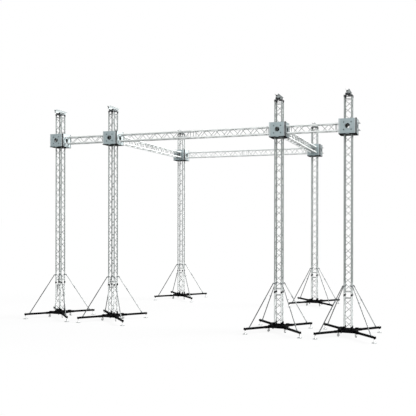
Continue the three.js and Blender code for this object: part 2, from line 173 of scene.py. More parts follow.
class Form:
    """A mesh in the making: closed shapes, each lofted through rings of points."""

    def __init__(self):
        self.points = []
        self.faces = []

    def loft(self, rings, closed=False):
        """A skin through rings of points, with flat ends or, if closed, back to the first ring."""
        first = len(self.points)
        count = len(rings[0])
        for ring in rings:
            self.points.extend(Vector(point) for point in ring)
        starts = [first + count * k for k in range(len(rings))]
        pairs = list(zip(starts, starts[1:]))
        if closed:
            pairs.append((starts[-1], starts[0]))
        for a, b in pairs:
            for j in range(count):
                n = (j + 1) % count
                self.faces.append((a + j, a + n, b + n, b + j))
        if not closed:
            self.faces.append(tuple(range(starts[0], starts[0] + count)))
            self.faces.append(tuple(range(starts[-1], starts[-1] + count)))

    def add(self, other, move=Matrix.Identity(4)):
        first = len(self.points)
        self.points.extend(move @ point for point in other.points)
        self.faces.extend(tuple(first + k for k in face) for face in other.faces)
        return self

    def around(self):
        """A new form with this one four times, a quarter turn apart."""
        made = Form()
        for turn in QUARTERS:
            made.add(self, turn)
        return made

    def mesh(self, name, material, sharp=35):
        made = bpy.data.meshes.new(name)
        made.from_pydata(self.points, [], self.faces)
        work = bmesh.new()
        work.from_mesh(made)
        bmesh.ops.recalc_face_normals(work, faces=work.faces)
        work.to_mesh(made)
        work.free()
        for polygon in made.polygons:
            polygon.use_smooth = True
        made.set_sharp_from_angle(angle=math.radians(sharp))
        made.materials.append(material)
        return made


def frame_of(axis):
    """Two directions square to an axis and to each other."""
    side = X if abs(axis.z) > 0.99 else Z.cross(axis).normalized()
    return side, axis.cross(side).normalized()


def turned(form, origin, axis, profile, sides, closed=False):
    """A shape turned about an axis. The profile gives places along the axis and radii."""
    axis = Vector(axis).normalized()
    u, v = frame_of(axis)
    angles = [2 * math.pi * k / sides for k in range(sides)]
    form.loft([
        [Vector(origin) + axis * along + (u * math.cos(a) + v * math.sin(a)) * radius for a in angles]
        for along, radius in profile
    ], closed)
    return form


def tube(form, start, end, radius, sides, end_radius=None):
    """A round bar between two points, which may taper to another radius."""
    start, end = Vector(start), Vector(end)
    profile = [(0, radius), ((end - start).length, end_radius or radius)]
    turned(form, start, end - start, profile, sides)


def collar(form, origin, axis, length, inner, outer):
    """A ring with a bore and chamfered rims, from its origin on along the axis."""
    chamfer = 0.0015
    profile = [
        (0, inner), (0, outer - chamfer), (chamfer, outer),
        (length - chamfer, outer), (length, outer - chamfer), (length, inner),
    ]
    turned(form, origin, axis, profile, 20, closed=True)


def bolt(form, origin, axis, radius, height=None):
    """A washer and a hexagon head that stand on a face at the origin."""
    height = height or radius * 0.7
    turned(form, origin, axis, [(-0.002, radius * 1.5), (0.0015, radius * 1.5), (0.002, radius * 1.4)], 16)
    turned(form, origin, axis, [(0.001, radius), (height, radius), (height + 0.0015, radius * 0.85)], HEX)


def plate(form, outline, origin, u, v, thickness):
    """A flat outline in the directions u and v, with its thickness to both sides of the origin."""
    origin, u, v = Vector(origin), Vector(u), Vector(v)
    half = u.cross(v).normalized() * (thickness / 2)
    form.loft([[origin + u * a + v * b + shift for a, b in outline] for shift in (-half, half)])


def brick(form, low, high):
    """A box between its lowest and its highest corner."""
    (x0, y0, z0), (x1, y1, z1) = low, high
    form.loft([[(x0, y0, z), (x1, y0, z), (x1, y1, z), (x0, y1, z)] for z in (z0, z1)])
    return form


def rounded(half_width, half_height, corner, steps=3):
    """The outline of a rectangle with round corners."""
    points = []
    for k, (sx, sy) in enumerate(CORNERS):
        for step in range(steps + 1):
            angle = math.pi / 2 * (k + step / steps)
            points.append((
                sx * (half_width - corner) + corner * math.cos(angle),
                sy * (half_height - corner) + corner * math.sin(angle),
            ))
    return points


def square_ring(form, outer, inner, low, high):
    """A square ring about the Z axis, between two distances from it and two heights."""
    section = ((outer, low), (outer, high), (inner, high), (inner, low))
    form.loft([[(sx * reach, sy * reach, z) for reach, z in section] for sx, sy in CORNERS], closed=True)


def along_y(form, section, side, ends, bottom):
    """A section of distances and heights on one side of the beam, drawn along Y between two ends."""
    form.loft([[(side * x, y, bottom + z) for x, z in section] for y in ends])


def box_tube(form, ends, half_width, half_height):
    """A square tube with round edges, outwards between two distances at the height of the outriggers."""
    outline = rounded(half_width, half_height, TUBE_CORNER)
    form.loft([
        [OUT * distance + ACROSS * a + Z * (TUBE_HEIGHT + b) for a, b in outline] for distance in ends
    ])


def holed(form, half_width, half_height, radius, origin, u, v, thickness):
    """A rectangular plate with a round hole in its middle."""
    origin, u, v = Vector(origin), Vector(u), Vector(v)
    corner = math.atan2(half_height, half_width)
    angles = {2 * math.pi * k / HOLE_SIDES for k in range(HOLE_SIDES)}
    angles |= {corner, math.pi - corner, math.pi + corner, 2 * math.pi - corner}
    angles = sorted(angles)
    inner = [(radius * math.cos(a), radius * math.sin(a)) for a in angles]
    outer = []
    for a in angles:
        reach = min(half_width / max(abs(math.cos(a)), 1e-9), half_height / max(abs(math.sin(a)), 1e-9))
        outer.append((reach * math.cos(a), reach * math.sin(a)))
    half = u.cross(v).normalized() * (thickness / 2)
    rings = ((outer, -half), (outer, half), (inner, half), (inner, -half))
    form.loft([[origin + u * a + v * b + shift for a, b in ring] for ring, shift in rings], closed=True)


# Materials

class Nodes:
    """The node tree of a material or of the world, with short calls for what the materials share."""

    def __init__(self, owner, clear=False):
        owner.use_nodes = True
        self.owner = owner
        self.tree = owner.node_tree
        if clear:
            self.tree.nodes.clear()

    def fill(self, node, inputs):
        """Gives each input its value, or a link where the value is an output of another node."""
        for name, value in inputs.items():
            if isinstance(value, bpy.types.NodeSocket):
                self.tree.links.new(value, node.inputs[name])
            else:
                node.inputs[name].default_value = value
        return node

    def node(self, kind, inputs, **settings):
        made = self.tree.nodes.new("ShaderNode" + kind)
        for name, value in settings.items():
            setattr(made, name, value)
        return self.fill(made, inputs)

    def place(self):
        return self.node("TexCoord", {}).outputs["Object"]

    def noise(self, scale, detail, stretch=(1, 1, 1), roughness=0.55):
        mapping = self.node("Mapping", {"Vector": self.place(), "Scale": stretch})
        texture = self.node("TexNoise", {
            "Vector": mapping.outputs["Vector"], "Scale": scale, "Detail": detail, "Roughness": roughness,
        })
        return texture.outputs["Fac"]

    def ramp(self, factor, stops):
        made = self.node("ValToRGB", {"Fac": factor})
        elements = made.color_ramp.elements
        while len(elements) < len(stops):
            elements.new(0.5)
        for element, (place, colour) in zip(elements, stops):
            element.position = place
            element.color = (*colour, 1.0)
        return made.outputs["Color"]

    def mix(self, factor, *colours):
        first, second = [(*colour, 1.0) if isinstance(colour, tuple) else colour for colour in colours]
        made = self.node("Mix", {"Factor": factor, 6: first, 7: second}, data_type="RGBA")
        return made.outputs[2]

    def height_share(self, low, high):
        """0 below the low height in the piece's own Z and 1 above the high one."""
        parts = self.node("SeparateXYZ", {"Vector": self.place()})
        share = self.node("MapRange", {"Value": parts.outputs["Z"], "From Min": low, "From Max": high})
        return share.outputs["Result"]

    def surface(self, height, strength, distance, inputs):
        """The material, with these inputs of its shader and a bump from the height."""
        bump = self.node("Bump", {"Strength": strength, "Distance": distance, "Height": height})
        self.fill(self.tree.nodes["Principled BSDF"], {"Normal": bump.outputs["Normal"], **inputs})
        return self.owner


def shade(colour, factor):
    return tuple(channel * factor for channel in colour)


# how the grain of a metal is stretched
ALONG_X, ALONG_Y, ALONG_Z, EVEN = (0.06, 1, 1), (1, 0.06, 1), (1, 1, 0.06), (1, 1, 1)


def metal(name, colour, metallic=0.25, roughness=0.42, grain=ALONG_Z, stain=0.75, worn=None, foot=None):
    """Metal with fine lines along its grain and duller stains. A worn colour gives it scuffs, and a foot
    colour takes over towards the lower end of the piece, which is lighter there."""
    nodes = Nodes(bpy.data.materials.new(name))
    blotch = nodes.noise(3.2, 5.0)
    lines = nodes.noise(160.0, 3.0, grain)
    specks = nodes.noise(46.0, 6.0)
    base = nodes.ramp(blotch, [(0.30, shade(colour, stain)), (0.52, colour), (0.78, shade(colour, 1.12))])
    tone = nodes.ramp(lines, [(0.35, shade(colour, 0.86)), (0.65, shade(colour, 1.08))])
    half = nodes.ramp(specks, [(0.0, (0.35, 0.35, 0.35)), (1.0, (0.65, 0.65, 0.65))])
    mixed = nodes.mix(half, base, tone)
    if worn:
        scuff = nodes.ramp(specks, [(0.62, (0, 0, 0)), (0.72, (1, 1, 1))])
        mixed = nodes.mix(scuff, mixed, worn)
    if foot:
        mixed = nodes.mix(nodes.height_share(*FOOT_FADE), foot, mixed)
    rough = nodes.ramp(lines, [(0.3, (roughness * 0.82,) * 3), (0.7, (min(1.0, roughness * 1.22),) * 3)])
    return nodes.surface(lines, 0.18, 0.0006, {"Base Color": mixed, "Roughness": rough, "Metallic": metallic})


def painted(name, colour, roughness, worn, scale=38.0, shine=0.5):
    """Powder coat with an orange-peel bump, dust in blotches and small chips to the metal."""
    nodes = Nodes(bpy.data.materials.new(name))
    dust = nodes.noise(2.6, 6.0)
    peel = nodes.noise(420.0, 2.0)
    chips = nodes.noise(scale, 8.0, roughness=0.7)
    base = nodes.ramp(dust, [(0.32, colour), (0.74, shade(colour, 1.7))])
    spots = nodes.ramp(chips, [(0.665, (0, 0, 0)), (0.70, (1, 1, 1))])
    rough = nodes.ramp(dust, [(0.3, (roughness * 0.85,) * 3), (0.75, (min(1.0, roughness * 1.35),) * 3)])
    return nodes.surface(peel, 0.22, 0.0004, {
        "Base Color": nodes.mix(spots, base, worn), "Roughness": rough, "Specular IOR Level": shine,
    })


# heights above the foot of a mast's truss between which the lighter foot tone ends
FOOT_FADE = (0.22, 0.42)
# the beams' darker chords at the front left are painted shade, and their paler bars at the back painted light
CHORDS = metal("drawn_chords", (0.70, 0.73, 0.72))
BARS = metal("drawn_bars", (0.23, 0.25, 0.245), 0.25, 0.45)
PALE_CHORDS = metal("pale_chords", (0.87, 0.90, 0.89))
PALE_BARS = metal("pale_bars", (0.46, 0.485, 0.48), 0.25, 0.45)
MAST_CHORDS = metal("mast_chords", (0.27, 0.295, 0.288), foot=(0.50, 0.53, 0.52))
MAST_BARS = metal("mast_bars", (0.21, 0.23, 0.225), 0.25, 0.45)
# the back towers' masts take lighter copies of the same chords and bars: painted light
LIT_BACK_MAST_CHORDS = metal("back_mast_chords", (0.37, 0.395, 0.39), foot=(0.55, 0.58, 0.57))
LIT_BACK_MAST_BARS = metal("back_mast_bars", (0.40, 0.42, 0.415), 0.25, 0.45)
BASE_CHORDS = metal("base_mast_chords", (0.70, 0.73, 0.72))
BASE_BARS = metal("base_mast_bars", (0.15, 0.16, 0.158), 0.25, 0.45)
# the brace tubes' tones are painted light and shade: darkest at the front left, lightest at the back right
SHADED_BRACE = metal("shaded_brace", (0.055, 0.06, 0.06))
PLAIN_BRACE = metal("brace_aluminium", (0.14, 0.15, 0.15))
LIT_BRACE = metal("lit_brace", (0.38, 0.40, 0.40))
CLAMP = metal("clamp_castings", (0.20, 0.215, 0.22), 0.3, 0.45, EVEN, stain=0.6)
# the near black of the right side's edge bars is painted shadow in the gap at the block's corners
CORNER = metal("corner_bars", (0.042, 0.045, 0.047), 0.2, 0.5)
WELDED = metal("weld_beads", (0.36, 0.38, 0.375), 0.3, 0.5, EVEN, stain=0.6)
BLOCK = metal("block_sheet", (0.29, 0.355, 0.37), 0.2, 0.48, ALONG_X)
# the side plates take a lighter copy of the block sheet, painted light, and on the right-hand towers a darker
# one, painted shade
SHADED_SIDE_SHEET = metal("side_sheet", (0.14, 0.17, 0.175), 0.2, 0.48, ALONG_X)
LIT_SIDE_SHEET = metal("pale_side_sheet", (0.48, 0.55, 0.56), 0.2, 0.48, ALONG_X)
# the bent lips and the left side's edge bars and caps are paler than the sheet: painted light
EDGE = metal("bent_edges", (0.44, 0.49, 0.50), 0.2, 0.45)
ZINC = metal("zinc_steel", (0.40, 0.42, 0.42), 0.7, 0.4, EVEN, stain=0.65)
DARK = metal("dark_steel", (0.035, 0.037, 0.040), 0.2, 0.5, EVEN, 0.7, worn=(0.09, 0.09, 0.09))
BRIGHT = metal("bright_zinc", (0.62, 0.63, 0.62), 0.3, 0.35, EVEN, stain=0.7)
SOCKET = metal("blued_bolt", (0.055, 0.075, 0.08), 0.3, 0.45, EVEN)
BLACK = painted("black_powder_coat", (0.002, 0.002, 0.0023), 0.65, (0.02, 0.02, 0.02), shine=0.02)
BEAM_METAL = metal("beam_sheet", (0.66, 0.71, 0.71), 0.2, 0.45, ALONG_Y)
# a darker copy of the channel metal for the right-hand towers: painted shade
SHADED_BEAM = metal("shaded_beam_sheet", (0.15, 0.17, 0.17), 0.2, 0.45, ALONG_Y)
HAT_METAL = metal("hat_sheet", (0.34, 0.385, 0.39), 0.2, 0.48, ALONG_Y)
# near black: the sheaves' dark paint, made darker still as painted shade at the channel's ends; the liners
# use it too
SHEAVE_BLACK = painted("sheave_black", (0.004, 0.004, 0.0045), 0.6, (0.02, 0.02, 0.02), 60.0, shine=0.08)
NYLON = painted("roller_nylon", (0.018, 0.018, 0.020), 0.55, (0.04, 0.04, 0.04), 60.0)
TYRE = painted("caster_tyre", (0.40, 0.41, 0.41), 0.7, (0.5, 0.5, 0.5), 30.0)


def new_object(name, data):
    made = bpy.data.objects.new(name, data)
    bpy.context.scene.collection.objects.link(made)
    return made


def put(name, mesh, body, slot, place, turn=Matrix.Identity(4), replaces=(), bevel=0.0):
    """One piece of the scene: it rides on a body and may stand for nodes of the frame."""
    piece = new_object(name, mesh)
    piece.matrix_world = Matrix.Translation(place) @ turn
    if bevel:
        soften = piece.modifiers.new("edges", "BEVEL")
        soften.width = bevel
        soften.segments = 2
        soften.limit_method = "ANGLE"
        soften.angle_limit = math.radians(40)
    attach(piece, body)
    if replaces:
        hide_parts(*replaces)


# Box truss

def zigzag_heights(length, bottom, top):
    """Where the zigzag's bars meet the chords, between the given insets at the two ends."""
    room = length - bottom - top
    bays = max(1, round(room / ZIGZAG_STEP))
    return [bottom + room * k / bays for k in range(bays + 1)]


def truss_face(bars, welds, heights, rungs):
    """The bars of the face on +X, with a weld bead at each foot."""
    legs = []
    for k, (low, high) in enumerate(zip(heights, heights[1:])):
        side = 1 if k % 2 else -1
        legs.append((side, low + ZIGZAG_GAP / 2, high - ZIGZAG_GAP / 2, BRACE_RADIUS))
    legs += [(1, height, height, RUNG_RADIUS) for height in rungs]
    for side, low, high, radius in legs:
        start = Vector((CHORD_PLACE, side * CHORD_PLACE, low))
        end = Vector((CHORD_PLACE, -side * CHORD_PLACE, high))
        tube(bars, start, end, radius, 10)
        axis = (end - start).normalized()
        foot = CHORD_RADIUS / abs(axis.y) - WELD_SINK
        for origin, direction in ((start, axis), (end, -axis)):
            turned(welds, origin + direction * foot, direction, [
                (0, radius + WELD_WIDTH), (0.005, radius + WELD_WIDTH * 0.6), (WELD_LENGTH, radius + 0.0006),
            ], 10)


def truss_forms(length, insets, rungs, coupled):
    """Chords with their couplers, the bars, the weld beads and the coupler pins."""
    chord, bars, welds, pin = Form(), Form(), Form(), Form()
    neck, proud = CHORD_RADIUS * 0.9, CHORD_RADIUS + COUPLER_PROUD
    turned(chord, CHORD_AXIS, Z, [(0, CHORD_RADIUS), (length, CHORD_RADIUS)], 20)
    for end, direction in ((0, 1), (length, -1)) if coupled else ():
        origin = CHORD_AXIS + Z * end
        turned(chord, origin, Z * direction, [
            (0, neck), (0.002, proud), (COUPLER_LENGTH - 0.006, proud), (COUPLER_LENGTH, neck),
        ], 20)
        middle = origin + Z * (direction * PIN_INSET)
        half = ACROSS * (CHORD_RADIUS + PIN_PROUD)
        tube(pin, middle - half, middle + half, PIN_RADIUS, 10, PIN_RADIUS * 0.8)
        turned(pin, middle - half, -ACROSS, [(-0.004, 0.009), (0.002, 0.009), (0.003, 0.007)], 12)
    rung_heights = [rung if rung > 0 else length + rung for rung in rungs]
    truss_face(bars, welds, zigzag_heights(length, *insets), rung_heights)
    return chord.around(), bars.around(), welds.around(), pin.around()


truss_meshes = {}


def put_truss(node, body, length, place, metals, turn=Matrix.Identity(4),
              insets=(ZIGZAG_INSET, ZIGZAG_INSET), rungs=(RUNG_INSET, -RUNG_INSET), coupled=True):
    """The detailed truss in place of a node, with its own z from 0 to its length. The zigzag keeps an inset
    at each end. A rung's place is measured from the lower end, or from the upper one if it is negative."""
    key = (round(length, 4), insets, rungs, coupled, *(used.name for used in metals))
    if key not in truss_meshes:
        label = f"truss_{len(truss_meshes)}"
        chords, bars, welds, pins = truss_forms(length, insets, rungs, coupled)
        truss_meshes[key] = [
            ("chords", chords.mesh(label + "_chords", metals[0]), "truss_aluminium"),
            ("bars", bars.mesh(label + "_bars", metals[1]), "truss_aluminium"),
            ("welds", welds.mesh(label + "_welds", WELDED, 60), "truss_aluminium"),
        ]
        if pins.points:
            truss_meshes[key].append(("pins", pins.mesh(label + "_pins", ZINC), "grey_steel"))
    for kind, mesh, slot in truss_meshes[key]:
        stands_for = (node,) if kind == "chords" else ()
        put(f"{node}_{kind}", mesh, body, slot, place, turn, stands_for)


# Base with outriggers, jacks, casters and braces

def base_frame_form():
    """The square frame with its raised corner blocks, and the arms and sleeves that hold the outriggers."""
    form, arm = Form(), Form()
    near = FRAME_HALF - CORNER_BLOCK
    square_ring(form, FRAME_HALF, FRAME_HALF - FRAME_BAR, TUBE_LOW, TUBE_HIGH)
    box_tube(arm, ARM_ENDS, TUBE / 2 + 0.002, TUBE / 2 - 0.001)
    box_tube(arm, SLEEVE_ENDS, TUBE / 2 + SLEEVE_WALL, TUBE / 2 + SLEEVE_WALL)
    corner = brick(Form(), (near, near, TUBE_LOW), (FRAME_HALF, FRAME_HALF, TUBE_HIGH + CORNER_RISE))
    return form.add(arm.around()).add(corner.around())


def outrigger_form():
    """The four outriggers with their end caps."""
    arm = Form()
    tip = OUTRIGGER_ENDS[1]
    box_tube(arm, OUTRIGGER_ENDS, TUBE / 2, TUBE / 2)
    box_tube(arm, (tip - 0.004, tip + END_CAP), TUBE / 2 + 0.002, TUBE / 2 + 0.002)
    return arm.around()


def mast_socket_form(bottom):
    """Black sockets that hold the feet of the mast's chords, on flanges on the base frame."""
    socket = Form()
    bore, flange, bolt_place = CHORD_RADIUS + PLAY, 0.052, 0.038
    collar(socket, CHORD_AXIS + Z * (bottom - 0.001), Z, SOCKET_TOP - bottom, bore, CHORD_RADIUS + 0.007)
    holed(socket, flange, flange, bore, CHORD_AXIS + Z * (bottom + 0.005), X, Y, 0.012)
    for sx, sy in ((1, -1), (-1, 1), (1, 1)):
        bolt(socket, CHORD_AXIS + Vector((sx * bolt_place, sy * bolt_place, bottom + 0.011)), Z, 0.009)
    return socket.around()


def jack_forms():
    """The threaded spindles with their nuts and hexagon heads, and the foot plates."""
    spindle, foot = Form(), Form()
    at = OUT * REACH
    pitch, root, crest, thread_start = 0.008, 0.0145, 0.017, 0.02
    turns = math.ceil((TUBE_LOW - thread_start) / pitch)
    profile = [(0.012, root)]
    for height in (thread_start + pitch * k for k in range(turns)):
        profile += [(height, root), (height + pitch * 0.4, crest)]
    profile += [(TUBE_LOW + 0.01, root)]
    turned(spindle, at, Z, profile, 16)
    turned(spindle, at + Z * (TUBE_HIGH - 0.002), Z, [(0, 0.026), (0.006, 0.026), (0.008, 0.024)], 20)
    turned(spindle, at + Z * TUBE_HIGH, Z, [(0.004, 0.014), (0.024, 0.014), (0.026, 0.012)], HEX)
    turned(spindle, at + Z * (TUBE_LOW - 0.022), Z, [(0, 0.024), (0.002, 0.027), (0.023, 0.027)], HEX)
    outline = rounded(FOOT_HALF, FOOT_HALF, 0.014, 4)
    foot.loft([
        [(at.x + a * share, at.y + b * share, z) for a, b in outline]
        for z, share in ((0.0, 0.97), (0.002, 1.0), (0.008, 1.0), (0.010, 0.97))
    ])
    turned(foot, at, Z, [(0.009, 0.034), (0.016, 0.030), (0.026, 0.021), (0.030, 0.0175)], 20)
    return spindle.around(), foot.around()


def caster_forms():
    """Forks with their swivel heads, and wheels with a rounded tyre and a hub."""
    fork, wheel = Form(), Form()
    at = OUT * CASTER_PLACE
    axle = at + OUT * CASTER_TRAIL + Z * (CASTER_CLEARANCE + CASTER_RADIUS)
    plate(fork, rounded(0.034, 0.034, 0.006), at + Z * (TUBE_LOW - 0.003), X, Y, 0.006)
    head = [(TUBE_LOW - drop, radius) for drop, radius in ((0.018, 0.024), (0.012, 0.028), (0.005, 0.028))]
    turned(fork, at, Z, head, 20)
    crown = TUBE_LOW - 0.02
    plate(fork, rounded(0.028, 0.021, 0.006), at + Z * crown, OUT, ACROSS, 0.005)
    rise = crown - axle.z
    cheek = [
        (-0.014, -0.006), (0.0, -0.015), (0.014, -0.006), (0.012, rise * 0.5), (0.008, rise), (-0.034, rise),
    ]
    for side in SIDES:
        plate(fork, cheek, axle + ACROSS * (side * 0.0195), OUT, Z, 0.003)
        bolt(fork, axle + ACROSS * (side * 0.021), ACROSS * side, 0.007)
    r = CASTER_RADIUS
    turned(wheel, axle - ACROSS * 0.015, ACROSS, [
        (0.0, 0.012), (0.0, 0.020), (0.004, 0.023), (0.004, r * 0.68), (0.0, r * 0.78), (0.002, r * 0.93),
        (0.008, r), (0.022, r), (0.028, r * 0.93), (0.030, r * 0.78), (0.026, r * 0.68), (0.026, 0.023),
        (0.030, 0.020), (0.030, 0.012),
    ], 28)
    return fork.around(), wheel.around()


def brace_forms():
    """Telescopic braces with their collars, lugs and pins, and chord clamps. The tubes come in three tones
    of painted light and shade: one lit at the back right, two plain, and one shaded at the front left."""
    pale, plain, dull = Form(), Form(), Form()
    pipe, fitting, clamp = Form(), Form(), Form()
    foot = OUT * BRACE_FOOT + Z * (TUBE_HIGH + BRACE_FOOT_RISE)
    head = OUT * CLAMP_REACH + Z * CLAMP_HEIGHT
    along = (head - foot).normalized()
    joint = foot.lerp(head, BRACE_JOINT_SHARE)
    lap = along * 0.02
    tube(pipe, foot + along * 0.03, joint, LOWER_BRACE_RADIUS, 16)
    tube(pipe, joint - lap, head - along * 0.025, UPPER_BRACE_RADIUS, 16)
    turned(fitting, joint - along * 0.07, along, [
        (0, 0.0178), (0.003, 0.0205), (0.075, 0.0205), (0.095, 0.0180), (0.105, 0.0157),
    ], 20)
    handle, knob = joint - lap, [(0, 0.008), (0.003, 0.011), (0.012, 0.011), (0.015, 0.008)]
    tube(fitting, handle, handle + ACROSS * 0.045, 0.005, 10)
    turned(fitting, handle + ACROSS * 0.040, ACROSS, knob, 14)
    normal = along.cross(ACROSS)
    lug = [(-0.014, -0.012), (0.0, -0.017), (0.014, -0.012), (0.014, 0.04), (-0.014, 0.04)]
    ferrule = [(0, 0.0165), (0.002, 0.0195), (0.028, 0.0195)]
    for point, direction in ((foot, along), (head, -along)):
        plate(fitting, lug, point, normal, direction, 0.010)
        turned(fitting, point + direction * 0.028, direction, ferrule, 16)
        tube(fitting, point - ACROSS * 0.024, point + ACROSS * 0.024, 0.006, 10)
        for side in SIDES:
            bolt(fitting, point + ACROSS * (side * 0.0165), ACROSS * side, 0.0085)
    saddle = OUT * BRACE_FOOT + Z * TUBE_HIGH
    ear = [(-0.03, 0.0), (0.03, 0.0), (0.018, 0.030), (0.008, 0.038), (-0.008, 0.038), (-0.018, 0.030)]
    plate(fitting, rounded(0.045, 0.030, 0.004), saddle + Z * 0.002, OUT, ACROSS, 0.005)
    chord = CHORD_AXIS + Z * CLAMP_HEIGHT
    collar(clamp, chord - Z * 0.025, Z, 0.05, CHORD_RADIUS + 0.0004, CHORD_RADIUS + 0.008)
    reach = CLAMP_REACH - CHORD_AXIS.length
    tip = [(reach + 0.012, -0.014), (reach + 0.016, 0.0), (reach + 0.012, 0.014)]
    cheek = [(0.026, -0.022)] + tip + [(0.026, 0.022)]
    ear_block = brick(Form(), (-0.009, -0.006, -0.016), (0.009, 0.006, 0.016))
    for side in SIDES:
        plate(fitting, ear, saddle + ACROSS * (side * 0.013), OUT, Z, 0.005)
        plate(clamp, cheek, chord + ACROSS * (side * 0.013), OUT, Z, 0.006)
        ear_at = chord + ACROSS * (side * (CHORD_RADIUS + 0.012))
        clamp.add(ear_block, Matrix.Translation(ear_at) @ Matrix.Rotation(math.pi / 4, 4, "Z"))
    # each quarter's tube takes the tone of painted light or shade for its side
    for tubes, turn in zip((pale, plain, dull, plain), QUARTERS):
        tubes.add(pipe, turn)
    return pale, plain, dull, fitting.around(), clamp.around()


def hinge_forms(bottom):
    """Between the base mast's chords and the mast's: sleeves, forks below, tongues above, and their pins."""
    sleeve, knuckle, pin = Form(), Form(), Form()
    at = CHORD_AXIS + Z * bottom
    middle = at + Z * (KNUCKLE_HEIGHT / 2)
    profile = [(-0.004, 0.0265), (0.010, 0.0285), (0.024, 0.027), (SLEEVE_LENGTH, 0.022)]
    turned(sleeve, at, Z, profile, 20)
    turned(sleeve, at, Z, [(KNUCKLE_HEIGHT - height, radius) for height, radius in profile[::-1]], 20)
    r = KNUCKLE_RADIUS
    arc = [(r * math.cos(a), r * math.sin(a)) for a in (math.pi * k / 10 for k in range(11))]
    ear = [(r, -KNUCKLE_LEG)] + arc + [(-r, -KNUCKLE_LEG)]
    for side in SIDES:
        plate(knuckle, ear, middle + Y * (side * 0.018), X, Z, 0.010)
    plate(knuckle, [(a, -b) for a, b in ear], middle, X, Z, 0.022)
    tube(pin, middle - Y * 0.033, middle + Y * 0.030, 0.010, 16)
    turned(pin, middle + Y * 0.026, Y, [(0, 0.013), (0.002, 0.0145), (0.009, 0.0145), (0.011, 0.012)], 16)
    clip = middle - Y * 0.030
    for side in SIDES:
        tube(pin, clip - X * 0.018 + Z * (side * 0.004), clip + X * 0.022 + Z * (side * 0.009), 0.0016, HEX)
    return sleeve.around(), knuckle.around(), pin.around()


# Sleeve block

def block_face(form, lips):
    """A sheet with a ringed round hole on the +X side, and bent lips on its upright edges if asked for."""
    front, proud, rim = BLOCK_REACH, SHEET + 0.001, HOLE_RADIUS
    flat, bend = PLATE_REACH - LIP, LIP * 0.6
    holed(form, flat, PLATE_RISE, rim, (front - SHEET / 2, 0, 0), Y, Z, SHEET)
    turned(form, (front - SHEET, 0, 0), X, [
        (0, rim - 0.001), (SHEET - 0.002, rim - 0.001), (proud, rim + 0.001),
        (proud, rim + HOLE_RING - 0.003), (SHEET - 0.002, rim + HOLE_RING), (0, rim + HOLE_RING),
    ], HOLE_SIDES, closed=True)
    section = [
        (front - 0.0001, flat - 0.0008), (front - bend, PLATE_REACH),
        (front - bend - SHEET, PLATE_REACH - SHEET * 0.5), (front - SHEET, flat - 0.003),
    ]
    for side in SIDES if lips else ():
        lips.loft([[(a, side * b, z) for a, b in section] for z in (-PLATE_RISE, PLATE_RISE)])


def block_plate_forms():
    """The face plates with their lips, and the side plates' edge bars with caps. The lips and the left bars
    and caps are pale, as painted light, and the right bars and caps near black, as painted shadow.
    """
    plates, sides, lips, bars, caps = Form(), Form(), Form(), Form(), Form()
    side, front, front_lips, bar, cap = Form(), Form(), Form(), Form(), Form()
    block_face(side, None)
    block_face(front, front_lips)
    (near, low), (far, high) = EDGE_BAR
    for end in SIDES:
        ys = sorted((end * low, end * high))
        brick(bar, (near, ys[0], -PLATE_RISE), (far, ys[1], PLATE_RISE - BAR_CAP))
        brick(cap, (near, ys[0], PLATE_RISE - BAR_CAP), (far, ys[1], PLATE_RISE + BAR_UPSTAND))
        for z in EDGE_BOLTS:
            bolt(bar, (far - 0.001, end * (low + high) / 2, z), X, 0.007)
    for quarter, turn in enumerate(QUARTERS):
        if quarter % 2:
            plates.add(front, turn)
            lips.add(front_lips, turn)
        else:
            sides.add(side, turn)
            # the left side's bar and cap go with the pale lips as painted light, the right side's stay dark
            # as painted shadow
            (lips if quarter else bars).add(bar, turn)
            (lips if quarter else caps).add(cap, turn)
    return plates, sides, lips, bars, caps


def block_bolts_form():
    """The heads of the coupler bolts in the face plates, each on a dark disc of painted shadow."""
    side = Form()
    for y, z in CHORD_PLACES:
        at = (BLOCK_REACH - 0.001, y * 1.02, z * 1.04)
        # the dark disc is painted shadow round the bolt
        turned(side, at, X, [(-0.004, 0.026), (0.0, 0.026), (0.001, 0.024)], 20)
        bolt(side, at, X, 0.016, 0.001)
    return side.around()


def block_core_form():
    """The inner tube along the mast, with smaller holes at the left and right, and spacers to the plates.
    Its black is painted shade inside the block.
    """
    form = Form()
    half, spacer_y, spacer_z = CORE_HALF, 0.13, 0.205
    for quarter, turn in enumerate(QUARTERS):
        wall = Form()
        hole = HOLE_RADIUS + 0.006 if quarter % 2 else SIDE_HOLE_RADIUS
        holed(wall, half, PLATE_RISE - 0.002, hole, (half - CORE_WALL / 2, 0, 0), Y, Z, CORE_WALL)
        for z in (-spacer_z, spacer_z):
            for y in (-spacer_y, spacer_y):
                brick(wall, (half - 0.002, y - 0.06, z - 0.015), (BLOCK_REACH - SHEET, y + 0.06, z + 0.015))
        form.add(wall, turn)
    return form


def block_foot_form():
    """The foot of the block: a flat ring round the mast with a rim of angle bar."""
    form, side = Form(), Form()
    reach, wall, shelf, drop = BLOCK_REACH - 0.004, 0.008, 0.007, 0.004
    top, low = -PLATE_RISE + 0.006, -PLATE_RISE - FOOT_DROP
    square_ring(form, reach, reach - wall, low, top)
    square_ring(form, BLOCK_REACH - wall, FOOT_OPENING, low + drop, low + drop + shelf)
    square_ring(form, FOOT_OPENING + 0.006, FOOT_OPENING, low, low + 0.03)
    for y in (-0.19, 0.19):
        bolt(side, (0.235, y, low + 0.005), -Z, 0.010)
    return form.add(side.around())


def block_bracket_form():
    """A light bracket in the middle of each side of the foot frame."""
    side = Form()
    low = -PLATE_RISE - FOOT_DROP
    plate(side, rounded(0.055, 0.012, 0.003), (BLOCK_REACH - 0.002, 0, low + 0.012), Y, Z, 0.004)
    for y in (-0.04, 0.04):
        bolt(side, (BLOCK_REACH - 0.001, y, low + 0.012), X, 0.007, 0.004)
    return side.around()


